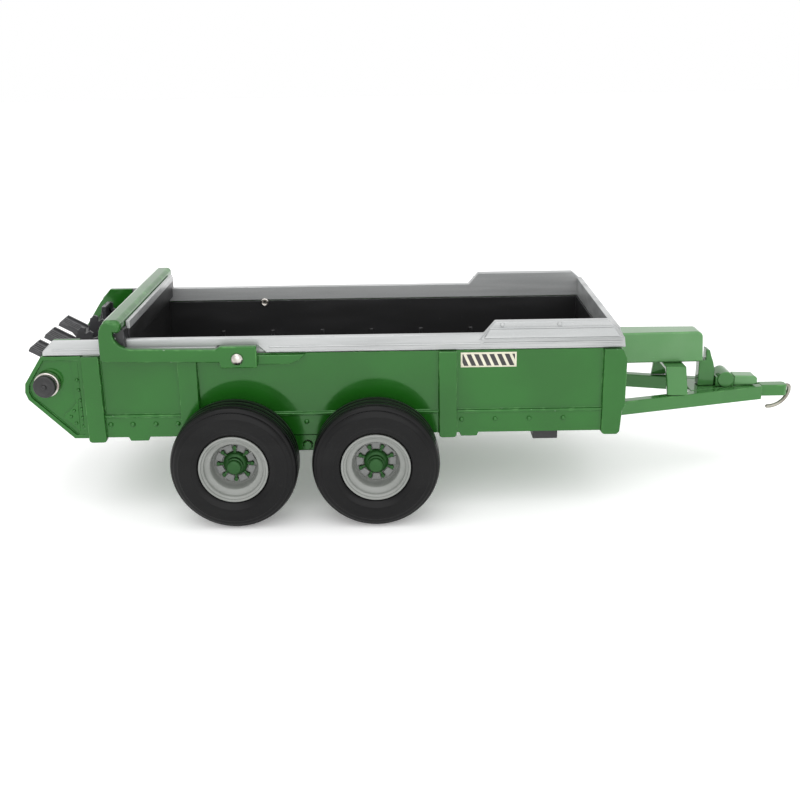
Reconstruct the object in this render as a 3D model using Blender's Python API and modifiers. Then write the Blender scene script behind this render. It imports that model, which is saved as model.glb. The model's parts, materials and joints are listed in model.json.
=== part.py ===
"""A 1/16 scale die-cast toy box manure spreader with tandem wheels.

+X points to the hitch, +Z up, and the origin lies on the ground under the middle of the toy.
Every dimension below is in millimetres, and MM turns it into Blender's metres.
"""

import math

import bmesh
import bpy
from mathutils import Matrix, Vector

MM = 0.001
GAP = 0.3
RIGHT, LEFT = -1, 1
SIDES = {"right": RIGHT, "left": LEFT}

# Heights
RAIL_TOP = 93.0
RAIL_BOTTOM = 85.0
BOARD_TOP = 99.4
PANEL_TOP = RAIL_BOTTOM - GAP
RIDGE_Z = 52.6
FLOOR_BOTTOM = 46.0
SILL_BOTTOM = 41.0
POST_BOTTOM = 39.0
SKIRT_BOTTOM = 32.3

# Distances from the centre plane
SHEET_IN, SHEET_OUT = 57.0, 59.0
SILL_OUT = 59.9
POST_OUT = 62.0
RAIL_IN, RAIL_OUT = 56.0, 59.6
LINER_IN, LINER_OUT = 55.6, SHEET_IN - GAP
PAN_HALF = 56.7

# Lengthwise stations
SIDE_REAR, SIDE_FRONT = -175.0, 95.0
REAR_POSTS = ((-175.0, -166.0), (-127.0, -117.3), (4.4, 13.4))
FRONT_POST = (87.3, 98.9)
FRONT_WALL = (93.0, 95.2)
REAR_END = -205.4

# Running gear
TYRE_RADIUS = 32.0
TYRE_HALF_WIDTH = 11.25
WHEEL_MIDDLE = 74.75
AXLE_X = {"rear": -98.7, "front": -27.9}
AXLE_RADIUS = 2.2
BOGIE_PIVOT = (-63.3, 35.5)
BOGIE_BEAM = (50.0, 54.0)
FIT = 0.3

# Beater and gate
BEATER_AXIS = (-193.5, 70.5)
BEATER_SHAFT_RADIUS = 2.4
PADDLE_LEAN = 29
GATE_PIVOT = (-96.0, 83.8)
RIVET_RADIUS = 1.5
ARM_IN, ARM_OUT = 62.4, 66.0

# Tongue: each beam runs in towards the centre plane with this slope
TONGUE_START, TONGUE_END = 70.0, 187.6
TONGUE_SLOPE = 0.28
TONGUE_END_Y = 3.5
BEAM_HALF = 2.8
BEAM_Z = (38.0, FLOOR_BOTTOM - GAP)
TIP_END = 202.8
HOOK_RADIUS = 1.1

FINISHES = {
    "green_paint": ((0.045, 0.26, 0.06), 0.28, 0.0),
    "silver_paint": ((0.62, 0.63, 0.64), 0.38, 0.35),
    "black_plastic": ((0.018, 0.018, 0.019), 0.42, 0.0),
    "tyre_rubber": ((0.035, 0.036, 0.038), 0.62, 0.0),
    "rim_paint": ((0.50, 0.49, 0.46), 0.45, 0.2),
    "bright_steel": ((0.72, 0.70, 0.66), 0.25, 1.0),
    "hook_steel": ((0.36, 0.33, 0.29), 0.40, 1.0),
}


# ---------------------------------------------------------------- helpers


def across(side, inner, outer):
    """The Y range between two distances from the centre plane, on one side of it."""
    return tuple(sorted((side * inner, side * outer)))


def arc(centre, radius, start, end, steps):
    """Points along a round stretch of an outline, between two angles in degrees."""
    angles = [math.radians(start + (end - start) * i / steps) for i in range(steps + 1)]
    return [(centre[0] + radius * math.cos(a), centre[1] + radius * math.sin(a)) for a in angles]


def inset(outline, distance):
    """The outline of a convex shape, drawn clockwise, moved inwards by a distance."""
    lines = []
    for (x0, z0), (x1, z1) in zip(outline, outline[1:] + outline[:1]):
        length = math.hypot(x1 - x0, z1 - z0)
        normal = ((z1 - z0) / length, -(x1 - x0) / length)
        lines.append((normal, normal[0] * x0 + normal[1] * z0 + distance))
    moved = []
    for (n0, d0), (n1, d1) in zip(lines[-1:] + lines[:-1], lines):
        turn = n0[0] * n1[1] - n0[1] * n1[0]
        moved.append(((d0 * n1[1] - d1 * n0[1]) / turn, (n0[0] * d1 - n1[0] * d0) / turn))
    return moved


def new_object(name, mesh):
    obj = bpy.data.objects.new(name, mesh)
    model.objects.link(obj)
    return obj


def block(x, y, z):
    """A box between three (low, high) ranges."""
    size = [(high - low) * MM for low, high in (x, y, z)]
    centre = [(high + low) / 2 * MM for low, high in (x, y, z)]
    shape = bmesh.new()
    place = Matrix.Translation(centre) @ Matrix.Diagonal((*size, 1))
    bmesh.ops.create_cube(shape, size=1, matrix=place)
    mesh = bpy.data.meshes.new("block")
    shape.to_mesh(mesh)
    shape.free()
    return new_object("block", mesh)


AXIS_TURNS = {
    "X": Matrix.Rotation(math.pi / 2, 4, "Y"),
    "Y": Matrix.Rotation(-math.pi / 2, 4, "X"),
    "Z": Matrix.Identity(4),
}


def rod(axis, centre, radius, span, sides=16):
    """A cylinder along an axis. centre holds its other two coordinates, in XYZ order."""
    middle = list(centre)
    middle.insert("XYZ".index(axis), (span[0] + span[1]) / 2)
    place = Matrix.Translation(Vector(middle) * MM) @ AXIS_TURNS[axis]
    shape = bmesh.new()
    bmesh.ops.create_cone(
        shape,
        cap_ends=True,
        segments=sides,
        radius1=radius * MM,
        radius2=radius * MM,
        depth=abs(span[1] - span[0]) * MM,
        matrix=place,
    )
    mesh = bpy.data.meshes.new("rod")
    shape.to_mesh(mesh)
    shape.free()
    return new_object("rod", mesh)


def as_mesh(obj, turn=None):
    """Replaces a curve, or an object with modifiers, by the mesh that it evaluates to."""
    graph = bpy.context.evaluated_depsgraph_get()
    graph.update()
    mesh = bpy.data.meshes.new_from_object(obj.evaluated_get(graph))
    shape = bmesh.new()
    shape.from_mesh(mesh)
    bmesh.ops.remove_doubles(shape, verts=shape.verts, dist=1e-7)
    if turn is not None:
        shape.transform(turn)
    shape.to_mesh(mesh)
    shape.free()
    settled = new_object(obj.name, mesh)
    settled.matrix_world = obj.matrix_world
    bpy.data.objects.remove(obj)
    return settled


PLANE_TURNS = {
    "XY": Matrix.Identity(4),
    "XZ": Matrix.Rotation(math.pi / 2, 4, "X"),
    "YZ": Matrix(((0, 0, 1, 0), (1, 0, 0, 0), (0, 1, 0, 0), (0, 0, 0, 1))),
}


def plate(plane, outline, span):
    """A flat outline in one plane, extruded over a range of the third axis."""
    curve = bpy.data.curves.new("plate", "CURVE")
    curve.dimensions = "2D"
    curve.fill_mode = "BOTH"
    curve.extrude = (span[1] - span[0]) / 2 * MM
    spline = curve.splines.new("POLY")
    spline.points.add(len(outline) - 1)
    for point, (u, v) in zip(spline.points, outline):
        point.co = (u * MM, v * MM, 0, 1)
    spline.use_cyclic_u = True
    middle = Vector((0, 0, 0))
    middle["XYZ".index(({"X", "Y", "Z"} - set(plane)).pop())] = (span[0] + span[1]) / 2 * MM
    return as_mesh(new_object("plate", curve), Matrix.Translation(middle) @ PLANE_TURNS[plane])


def turned(profile, steps):
    """A ring or a knob: a closed profile of (radius, height) points, turned about Z."""
    mesh = bpy.data.meshes.new("turned")
    points = [(radius * MM, 0, height * MM) for radius, height in profile]
    edges = [(i, (i + 1) % len(points)) for i in range(len(points))]
    on_axis = [i for i, (radius, _) in enumerate(profile) if radius == 0]
    if len(on_axis) == 2:
        edges.remove((max(on_axis), min(on_axis)) if 0 in on_axis else tuple(on_axis))
    mesh.from_pydata(points, edges, [])
    obj = new_object("turned", mesh)
    screw = obj.modifiers.new("screw", "SCREW")
    screw.steps = steps
    screw.render_steps = steps
    screw.use_merge_vertices = True
    screw.merge_threshold = 1e-6
    return as_mesh(obj)


def tube(points, radius):
    """A round wire along points, in millimetres."""
    curve = bpy.data.curves.new("tube", "CURVE")
    curve.dimensions = "3D"
    curve.bevel_depth = radius * MM
    curve.bevel_resolution = 2
    curve.use_fill_caps = True
    spline = curve.splines.new("POLY")
    spline.points.add(len(points) - 1)
    for point, place in zip(spline.points, points):
        point.co = (*(value * MM for value in place), 1)
    return as_mesh(new_object("tube", curve))


def combine(base, others, operation):
    """Joins or cuts the base with other shapes, and removes them."""
    for other in others:
        modifier = base.modifiers.new(operation, "BOOLEAN")
        modifier.operation = operation
        modifier.solver = "EXACT"
        modifier.object = other
    result = as_mesh(base)
    for other in others:
        bpy.data.objects.remove(other)
    return result


def join(base, *others):
    return combine(base, others, "UNION")


def cut(base, *others):
    return combine(base, others, "DIFFERENCE")


def finish(name, obj, kind, parent=None):
    """Names a sub-part, gives it its own material, and puts its origin on its parent's joint axis."""
    obj.name = name
    obj.data.name = name
    colour, roughness, metallic = FINISHES[kind]
    material = bpy.data.materials.new(f"{name}_{kind}")
    material.use_nodes = True
    shader = material.node_tree.nodes["Principled BSDF"]
    shader.inputs["Base Color"].default_value = (*colour, 1)
    shader.inputs["Roughness"].default_value = roughness
    shader.inputs["Metallic"].default_value = metallic
    obj.data.materials.clear()
    obj.data.materials.append(material)
    if parent:
        obj.data.transform(Matrix.Translation(-parent.matrix_world.translation))
        obj.parent = parent
    return obj


def pivot(name, x, y, z, parent=None):
    """An empty on a joint's axis."""
    empty = bpy.data.objects.new(name, None)
    model.objects.link(empty)
    empty.location = Vector((x, y, z)) * MM
    if parent:
        empty.location -= parent.matrix_world.translation
        empty.parent = parent
    bpy.context.view_layer.update()
    return empty


# ---------------------------------------------------------------- box


def post(side, x, bottom=POST_BOTTOM):
    """An upright of the side casting, with rounded lower corners."""
    low, high = x
    corner = 1.6
    foot = arc((low + corner, bottom + corner), corner, 180, 270, 3)
    foot += arc((high - corner, bottom + corner), corner, 270, 360, 3)
    return plate("XZ", [(low, PANEL_TOP), *foot, (high, PANEL_TOP)], across(side, SHEET_IN + 0.7, POST_OUT))


def front_post(side):
    """The front upright, which is wider above the ridge."""
    low, high = FRONT_POST
    outline = [
        (low, PANEL_TOP),
        (low, POST_BOTTOM + 1.6),
        (low + 1.4, POST_BOTTOM + 0.4),
        (high - 3.6, POST_BOTTOM + 0.4),
        (high - 2.2, POST_BOTTOM + 1.8),
        (high - 1.3, RIDGE_Z),
        (high, RIDGE_Z + 1.9),
        (high, PANEL_TOP - 4.7),
        (high - 2.4, PANEL_TOP),
    ]
    return plate("XZ", outline, across(side, SHEET_IN + 0.7, POST_OUT))


def sill_bolts(side):
    rows = (-163.6, -152.3, -140.5, -129.2, BOGIE_PIVOT[0], 15.9, 33.1, 50.5, 67.9)
    return [rod("Y", (x, 48.2), 1.0, across(side, SILL_OUT - 0.6, SILL_OUT + 0.8), 8) for x in rows]


def tab(side, low, high):
    """A small foot below the sill."""
    outline = [
        (low - 1.2, SILL_BOTTOM + 1),
        (low, POST_BOTTOM),
        (high, POST_BOTTOM),
        (high + 1.2, SILL_BOTTOM + 1),
    ]
    return plate("XZ", outline, across(side, SHEET_IN + 0.8, SILL_OUT))


def gate_pivot_hole(side):
    return rod("Y", GATE_PIVOT, RIVET_RADIUS + FIT, across(side, 50, 70), 12)


def side_casting(name, side):
    """One die-cast side: sheet, uprights, ridge, sill, skirt, bolts and the gate's pivot pad."""
    length = (SIDE_REAR + 5, SIDE_FRONT - 3)
    px, pz = GATE_PIVOT
    bx, bz = BOGIE_PIVOT
    sheet = block((SIDE_REAR, SIDE_FRONT), across(side, SHEET_IN, SHEET_OUT), (SILL_BOTTOM, PANEL_TOP))
    sill = block(length, across(side, SHEET_IN + 0.5, SILL_OUT), (SILL_BOTTOM, RIDGE_Z))
    ridge = block(length, across(side, SHEET_IN + 0.5, SILL_OUT + 0.8), (RIDGE_Z - 0.7, RIDGE_Z + 0.7))
    skirt_outline = [
        (bx - 35, SILL_BOTTOM + 1),
        (bx - 23, SKIRT_BOTTOM),
        (bx + 23, SKIRT_BOTTOM),
        (bx + 35, SILL_BOTTOM + 1),
    ]
    skirt = plate("XZ", skirt_outline, across(side, SHEET_IN + 0.3, SILL_OUT - 0.2))
    pivot_pad = block((px - 10, px + 9.1), across(side, RAIL_IN + 2.7, POST_OUT - 0.1), (pz - 5.3, pz + 4.9))
    stop_outline = [
        (px + 8, pz + 0.5),
        (px + 8, pz - 4.3),
        (px + 25.2, pz - 4.3),
        (px + 30.3, pz - 2.4),
        (px + 33.4, pz + 0.5),
    ]
    stop = plate("XZ", stop_outline, across(side, SHEET_IN + 0.8, POST_OUT - 0.4))
    posts = [post(side, x) for x in REAR_POSTS]
    tabs = [tab(side, -154.3, -145.0), tab(side, 15.6, 23.8)]
    small = [front_post(side), *posts, *tabs, *sill_bolts(side)]
    casting = join(sheet, sill, ridge, skirt, pivot_pad, stop, *small)
    bogie_hole = rod("Y", (bx, bz), AXLE_RADIUS + FIT, across(side, 50, 70), 12)
    finish(name, cut(casting, gate_pivot_hole(side), bogie_hole), "green_paint")


def end_plate_outline(top):
    """The hexagonal rear end, clockwise from its top front corner."""
    low_front = SIDE_REAR - GAP
    outline = [(low_front, 40.8), (-182.8, 40.9), (REAR_END + 1.3, 62.1), (REAR_END, 65.9)]
    outline += [(REAR_END + 0.6, 70.7), (-195.5, PANEL_TOP)]
    if top > PANEL_TOP:
        outline.append((-188.5, top))
    outline.append((low_front, top))
    return outline


def end_plate(name, side):
    """A rear end plate, with a raised rim, a bolted joint strip and a bolted corner gusset."""
    inner = plate("XZ", end_plate_outline(RAIL_TOP), across(side, RAIL_IN, RAIL_IN + 1.8))
    low = end_plate_outline(PANEL_TOP)
    rim = plate("XZ", low, across(side, RAIL_IN + 1, POST_OUT - 2.1))
    recess = plate("XZ", inset(low, 2.0), across(side, RAIL_IN + 2.2, POST_OUT))
    strip = block((-180.5, SIDE_REAR - GAP), across(side, RAIL_IN + 1, POST_OUT - 2.8), (42, PANEL_TOP))
    gusset_outline = [(-179.5, 44.8), (-187.2, 52.5), (-178.5, 61.5)]
    gusset = plate("XZ", gusset_outline, across(side, RAIL_IN + 1, POST_OUT - 3.0))
    bolt_places = [(-178.6, 72.3), (-178.0, 61.4), (-177.8, 52)]
    bolt_places += [(-181.6, 56), (-183.5, 52.8), (-181.2, 49.2)]
    bolts = [rod("Y", place, 0.8, across(side, 58.5, POST_OUT - 2.2), 8) for place in bolt_places]
    body = cut(join(inner, rim), recess)
    body = join(body, strip, gusset, *bolts)
    bore = rod("Y", BEATER_AXIS, BEATER_SHAFT_RADIUS + FIT, across(side, 50, 70), 16)
    finish(name, cut(body, bore), "green_paint")


def rail_outline(rear, notched):
    """The side view of the top rail from a rear end to the raised front board and its slanted nose."""
    px, pz = GATE_PIVOT
    outline = [(rear, RAIL_BOTTOM)]
    if notched:
        outline = [(-194.5, RAIL_BOTTOM), (-194.2, RAIL_BOTTOM + 2.3), (-188.5, RAIL_TOP)]
    else:
        outline.append((rear, RAIL_TOP))
    outline += [(27.0, RAIL_TOP), (32.6, BOARD_TOP), (88.9, BOARD_TOP)]
    outline += [(94.2, 94.8), (97.6, 90.0), (98.2, RAIL_BOTTOM)]
    if notched:
        outline += [(px + 14, RAIL_BOTTOM), (px + 9.5, pz + 5.2)]
        outline += [(px - 10.4, pz + 5.2), (px - 10.4, RAIL_BOTTOM)]
    return outline


def rail_side(side):
    inner = plate("XZ", rail_outline(SIDE_REAR + 9, False), across(side, RAIL_IN, RAIL_IN + 2.4))
    outer = plate("XZ", rail_outline(0, True), across(side, RAIL_IN + 2.1, RAIL_OUT))
    foot = RAIL_TOP - 2.7
    board_outline = [(25.0, foot), (32.6, BOARD_TOP), (88.9, BOARD_TOP), (94.2, 94.8), (96.8, foot)]
    board = plate("XZ", board_outline, across(side, RAIL_OUT - 0.4, RAIL_OUT + 1.0))
    return [inner, outer, board]


def top_rail():
    """The silver cap that runs round both sides and the front of the box."""
    front = block((FRONT_WALL[0] - 1, FRONT_WALL[1]), (-RAIL_OUT, RAIL_OUT), (RAIL_BOTTOM, RAIL_TOP + 2.4))
    pieces = rail_side(RIGHT) + rail_side(LEFT)
    rail = join(front, *pieces)
    finish("top_rail", cut(rail, gate_pivot_hole(RIGHT), gate_pivot_hole(LEFT)), "silver_paint")


def tub_liner():
    """The black inner tub: floor, two walls, a front wall, and its cross slats with wall ribs."""
    floor_top = FLOOR_BOTTOM + 3.3
    length = (SIDE_REAR + 9, FRONT_WALL[0] - GAP)
    floor = block((SIDE_REAR + 1, length[1]), (-LINER_OUT, LINER_OUT), (FLOOR_BOTTOM + 1.8, floor_top))
    height = (floor_top - 1, PANEL_TOP)
    walls = [block(length, across(side, LINER_IN, LINER_OUT), height) for side in SIDES.values()]
    head = block((length[1] - 1.1, length[1]), (-LINER_OUT, LINER_OUT), height)
    ribs = []
    for i in range(7):
        x = (-123 + 30 * i, -121 + 30 * i)
        ribs.append(block(x, (-LINER_IN - 0.2, LINER_IN + 0.2), (floor_top - 0.5, floor_top + 1)))
        for side in SIDES.values():
            ribs.append(block(x, across(side, LINER_IN - 0.8, LINER_IN + 0.4), (floor_top, floor_top + 17)))
    liner = join(floor, *walls, head, *ribs)
    finish("tub_liner", cut(liner, gate_pivot_hole(RIGHT), gate_pivot_hole(LEFT)), "black_plastic")


def box():
    for word, side in SIDES.items():
        side_casting(f"side_{word}", side)
        end_plate(f"end_plate_{word}", side)
        latch = block((53, 65.8), across(side, 44, 54), (POST_BOTTOM, FLOOR_BOTTOM - GAP))
        finish(f"tub_latch_{word}", latch, "black_plastic")
    top_rail()
    tub_liner()
    wall = block(FRONT_WALL, (-PAN_HALF, PAN_HALF), (FLOOR_BOTTOM + GAP, PANEL_TOP))
    finish("front_wall", wall, "green_paint")
    pan = block((SIDE_REAR + 1, FRONT_WALL[0] - GAP), (-PAN_HALF, PAN_HALF), (FLOOR_BOTTOM, FLOOR_BOTTOM + 1.5))
    finish("floor_pan", pan, "green_paint")
    for word, x in {"rear": (-172, -166), "front": (66.1, TONGUE_START - GAP)}.items():
        member = block(x, (-PAN_HALF, PAN_HALF), (SILL_BOTTOM + GAP, FLOOR_BOTTOM - GAP))
        finish(f"cross_member_{word}", member, "green_paint")


# ---------------------------------------------------------------- gate


def gate_arm_outline():
    """One arm of the gate hoop: pivot boss, long bar, and the leg up to the crossbar."""
    px, pz = GATE_PIVOT
    return [
        (px + 9.8, pz - 4.8),
        (px + 9.8, pz + 6.4),
        (px - 8.4, pz + 6.4),
        (px - 10.5, pz + 4.9),
        (-150.0, 89.6),
        (-154.6, 91.2),
        (-157.0, 95.0),
        (-157.0, 103.0),
        (-160.6, 103.9),
        (-163.4, 100.2),
        (-164.0, 95.0),
        (-164.0, 84.4),
        (-162.6, 82.9),
        (px - 9.0, 82.0),
        (px - 8.4, pz - 4.8),
    ]


def gate_corner(side):
    """What is cut from an upper corner of the hoop, seen along X."""
    return [(side * (ARM_OUT - 4.2), 105), (side * (ARM_OUT + 1), 105), (side * (ARM_OUT + 1), 99.8)]


def gate():
    """The lifting endgate: a green hoop over the box, its hanging panel and the panel's light top lip."""
    px, pz = GATE_PIVOT
    axis = pivot("gate_axis", px, 0, pz)
    arms = [plate("XZ", gate_arm_outline(), across(side, ARM_IN, ARM_OUT)) for side in SIDES.values()]
    crown = [(-161.8, 97.5), (-161.8, 102.2), (-160.2, 104.2)]
    crown += [(-155.0, 104.2), (-152.6, 101.8), (-152.6, 97.5)]
    crossbar = plate("XZ", crown, (-ARM_OUT, ARM_OUT))
    corner_length, corner_height = (-157.5, -151.0), (94.5, 103.8)
    gussets = [block(corner_length, across(side, 58.0, ARM_IN + 0.5), corner_height) for side in SIDES.values()]
    frame = join(crossbar, *arms, *gussets)
    corners = [plate("YZ", gate_corner(side), (-170, -140)) for side in SIDES.values()]
    frame = cut(frame, *corners, gate_pivot_hole(RIGHT), gate_pivot_hole(LEFT))
    finish("gate_frame", frame, "green_paint", axis)
    width = (-LINER_IN + 0.6, LINER_IN - 0.6)
    head = block((-155.8, -150.9), width, (88, 97.5 - GAP))
    sheet = block((-155.8, -153.3), width, (FLOOR_BOTTOM + 6.0, 89))
    finish("gate_panel", join(head, sheet), "black_plastic", axis)
    lip = block((-152.6 + GAP, -150.3), width, (97.5, 101.5))
    finish("gate_lip", lip, "silver_paint", axis)


def gate_rivet(name, side):
    """A domed rivet through arm, side and rail, with an eyelet inside the tub."""
    dome = [(0, 1.8), (1.3, 1.6), (2.4, 1.0), (3.1, 0), (RIVET_RADIUS, 0), (RIVET_RADIUS, -11.2)]
    dome += [(2.2, -11.2), (2.2, -12.0), (0, -12.0)]
    rivet = turned(dome, 14)
    px, pz = GATE_PIVOT
    rivet.data.transform(Matrix.Rotation(-side * math.pi / 2, 4, "X"))
    rivet.data.transform(Matrix.Translation(Vector((px, side * (ARM_OUT + GAP), pz)) * MM))
    finish(name, rivet, "bright_steel")


# ---------------------------------------------------------------- beater


def serrated_flight(y):
    """A toothed part-disc on the beater."""
    x, z = BEATER_AXIS
    outline = [(x, z)]
    teeth = 10
    for i in range(teeth):
        angle = -80 + 160 * i / teeth
        outline += arc((x, z), 18.6, angle, angle + 7, 1)
        outline += arc((x, z), 16.4, angle + 10, angle + 12, 1)
    return plate("XZ", outline[::-1], (y - 0.8, y + 0.8))


def paddle(y, turn):
    """A paddle: a plate that leaves the drum along a tangent, on a web."""
    x, z = BEATER_AXIS
    blade = block((-17.4, 1.0), (y - 7.2, y + 7.2), (5.7, 8.1))
    web_outline = [(-15.0, 6.2), (1.0, 6.2), (1.0, 3.0), (-4.5, 1.0)]
    web = plate("XZ", web_outline, (y - 1.5, y + 1.5))
    place = Matrix.Translation(Vector((x, 0, z)) * MM) @ Matrix.Rotation(math.radians(turn), 4, "Y")
    for piece in (blade, web):
        piece.data.transform(place)
    return [blade, web]


def beater():
    """The rear beater: rotor with paddles and flights, its shaft, and the end knobs."""
    x, z = BEATER_AXIS
    axis = pivot("beater_axis", x, 0, z)
    drum = rod("Y", BEATER_AXIS, 7.0, (-54, 54), 16)
    pieces = []
    for i in range(4):
        y = -39 + 26 * i
        first = PADDLE_LEAN + (60 if i == 3 else 0)
        pieces += [*paddle(y, first), *paddle(y, first + 180), serrated_flight(y)]
    bore = rod("Y", BEATER_AXIS, BEATER_SHAFT_RADIUS + FIT, (-70, 70), 16)
    finish("beater_rotor", cut(join(drum, *pieces), bore), "black_plastic", axis)
    finish("beater_shaft", rod("Y", BEATER_AXIS, BEATER_SHAFT_RADIUS, (-62, 62), 16), "bright_steel", axis)
    for word, side in SIDES.items():
        cap = rod("Y", BEATER_AXIS, 5.7, across(side, 62 + GAP, 66), 24)
        pin = rod("Y", BEATER_AXIS, 1.3, across(side, 65, 66.8), 10)
        finish(f"beater_knob_{word}", join(cap, pin), "black_plastic", axis)
        ring = rod("Y", BEATER_AXIS, 6.5, across(side, 58.2 + GAP, 62), 24)
        ring = cut(ring, rod("Y", BEATER_AXIS, BEATER_SHAFT_RADIUS + FIT, across(side, 50, 70), 16))
        finish(f"beater_bearing_{word}", ring, "bright_steel")


# ---------------------------------------------------------------- running gear


def bogie_beam_outline():
    px, pz = BOGIE_PIVOT
    outline = arc((AXLE_X["rear"], TYRE_RADIUS), 5, 265, 105, 6)
    outline += arc((px, pz), 5.5, 110, 70, 3)
    outline += arc((AXLE_X["front"], TYRE_RADIUS), 5, 75, -85, 6)
    outline += arc((px, pz), 5.5, 290, 250, 3)
    return outline


def hanger_outline():
    px, pz = BOGIE_PIVOT
    top = FLOOR_BOTTOM - GAP
    return [(px - 11, top), (px + 11, top), *arc((px, pz), 5, 15, -195, 8)]


def bogie():
    """The walking-beam bogie: two beams on a cross shaft, with two axles and four wheels."""
    px, pz = BOGIE_PIVOT
    axis = pivot("bogie_axis", px, 0, pz)
    for word, side in SIDES.items():
        beam = plate("XZ", bogie_beam_outline(), across(side, *BOGIE_BEAM))
        holes = [(px, pz), *((x, TYRE_RADIUS) for x in AXLE_X.values())]
        bores = [rod("Y", place, AXLE_RADIUS + FIT, across(side, 40, 60), 12) for place in holes]
        finish(f"bogie_beam_{word}", cut(beam, *bores), "green_paint", axis)
        hanger = plate("XZ", hanger_outline(), across(side, BOGIE_BEAM[0] - 4.3, BOGIE_BEAM[0] - GAP))
        bore = rod("Y", (px, pz), AXLE_RADIUS + FIT, across(side, 40, 60), 12)
        finish(f"bogie_hanger_{word}", cut(hanger, bore), "green_paint")
        bolt = rod("Y", (px, pz), 2.4, across(side, SILL_OUT + GAP, SILL_OUT + 1.6), 6)
        finish(f"pivot_bolt_{word}", bolt, "green_paint")
    finish("pivot_shaft", rod("Y", BOGIE_PIVOT, AXLE_RADIUS, (-SILL_OUT, SILL_OUT), 12), "bright_steel")
    for word, x in AXLE_X.items():
        axle = rod("Y", (x, TYRE_RADIUS), AXLE_RADIUS, (-WHEEL_MIDDLE - 3.2, WHEEL_MIDDLE + 3.2), 12)
        finish(f"axle_{word}", axle, "bright_steel", axis)
    wheels(axis)


def tyre_profile():
    """The tyre's section, with rounded shoulders, seen from the wheel's outer face down."""
    half = TYRE_HALF_WIDTH
    upper = [(17.7, half - 2.4), (19.6, half - 0.7), (23.0, half), (27.2, half - 0.1), (29.9, half - 1.4)]
    upper += [(31.4, half - 3.4), (TYRE_RADIUS, half - 6.2)]
    return upper + [(radius, -height) for radius, height in reversed(upper)]


def rim_profile():
    """The rim's section: flange, stepped barrel, and a disc set deep behind the flange."""
    face = TYRE_HALF_WIDTH - 2.1
    outside = [(17.4, face), (17.4, -face), (15.8, -face), (15.8, -3.4), (AXLE_RADIUS + FIT, -3.4)]
    inside = [(AXLE_RADIUS + FIT, -1.0), (10.8, -1.0), (11.6, 3.8), (14.2, 4.8), (15.4, 7.6), (16.4, face)]
    return outside + inside


def hub():
    """The green hub: a flange with eight radial stud ribs, and a nose."""
    top, foot = 7.4, -1.0 + GAP
    bore = AXLE_RADIUS + FIT
    profile = [(0, top), (3.1, top), (3.9, top - 0.8), (4.1, 2.2), (6.0, 1.2), (6.4, foot)]
    profile += [(bore, foot), (bore, 3.6), (0, 3.6)]
    body = turned(profile, 16)
    studs = []
    for i in range(8):
        stud = block((3.0, 8.2), (-0.65, 0.65), (foot, 1.4))
        stud.data.transform(Matrix.Rotation(math.radians(90 + 45 * i), 4, "Z"))
        studs.append(stud)
    keep_clear = rod("Z", (0, 0), bore, (-3, 3.6), 16)
    return cut(join(body, *studs), keep_clear)


def wheels(bogie_axis):
    """Four wheels, each of a tyre, a rim and a hub, turning on the axle ends."""
    shapes = {
        "tyre": (turned(tyre_profile(), 40), "tyre_rubber"),
        "rim": (turned(rim_profile(), 32), "rim_paint"),
        "hub": (hub(), "green_paint"),
    }
    for end, x in AXLE_X.items():
        for word, side in SIDES.items():
            axis = pivot(f"wheel_axis_{end}_{word}", x, side * WHEEL_MIDDLE, TYRE_RADIUS, bogie_axis)
            spin = math.radians(22.5) if end == "front" else 0
            turn = Matrix.Rotation(-side * math.pi / 2, 4, "X") @ Matrix.Rotation(spin, 4, "Z")
            for part, (shape, kind) in shapes.items():
                piece = new_object("piece", shape.data.copy())
                finish(f"{part}_{end}_{word}", piece, kind)
                piece.data.transform(turn)
                piece.parent = axis
    for shape, _ in shapes.values():
        bpy.data.objects.remove(shape)


# ---------------------------------------------------------------- tongue


def beam_y(x):
    """Distance of a tongue beam's middle from the centre plane."""
    return TONGUE_END_Y + (TONGUE_END - x) * TONGUE_SLOPE


def tongue_beam(name, side):
    ends = (TONGUE_START, TONGUE_END)
    outline = [(x, side * (beam_y(x) - BEAM_HALF)) for x in ends]
    outline += [(x, side * (beam_y(x) + BEAM_HALF)) for x in reversed(ends)]
    finish(name, plate("XY", outline, BEAM_Z), "green_paint")


def tongue_deck():
    """The plate between the beams that carries the driveline pieces."""
    rear, front = 146.0, TONGUE_END - 7
    inner = BEAM_HALF + GAP + 0.1
    outline = [(rear, beam_y(rear) - inner), (front, beam_y(front) - inner)]
    outline += [(x, -y) for x, y in reversed(outline)]
    finish("tongue_deck", plate("XY", outline, (BEAM_Z[1] - 2.5, BEAM_Z[1])), "green_paint")


def hood_outline(shrink):
    """The side view of the driveline hood, with a rounded nose."""
    low, top, front = 60.8, 78.0 - shrink, 153.2 - shrink
    nose = arc((front - 4.4, top - 3.6), 3.6, 90, 8, 5)
    return [(95.5, low), (95.5, top), *nose, (front, low)]


def hood():
    """The long driveline hood: a shell, open below, that narrows to the front."""
    cover = plate("XZ", hood_outline(0), (-8, 8))
    hollow = plate("XZ", [(x, z - 2 if z < 61 else z) for x, z in hood_outline(1.4)], (-6.6, 6.6))
    shell = cut(cover, hollow)
    for vertex in shell.data.vertices:
        vertex.co.y *= 1 - 0.22 * (vertex.co.x / MM - 95.5) / (153.2 - 95.5)
    finish("driveline_hood", shell, "green_paint")


def hood_stand():
    """The saddle under the hood, whose legs lean in from the beams."""
    foot, top = BEAM_Z[1] + GAP, 60.5
    outer = [(-21.0, foot), (-14.6, top), (14.6, top), (21.0, foot)]
    inner = [(18.2, foot), (12.6, top - 2.2), (-12.6, top - 2.2), (-18.2, foot)]
    finish("hood_stand", plate("YZ", outer + inner, (130.8, 142.0)), "green_paint")


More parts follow.
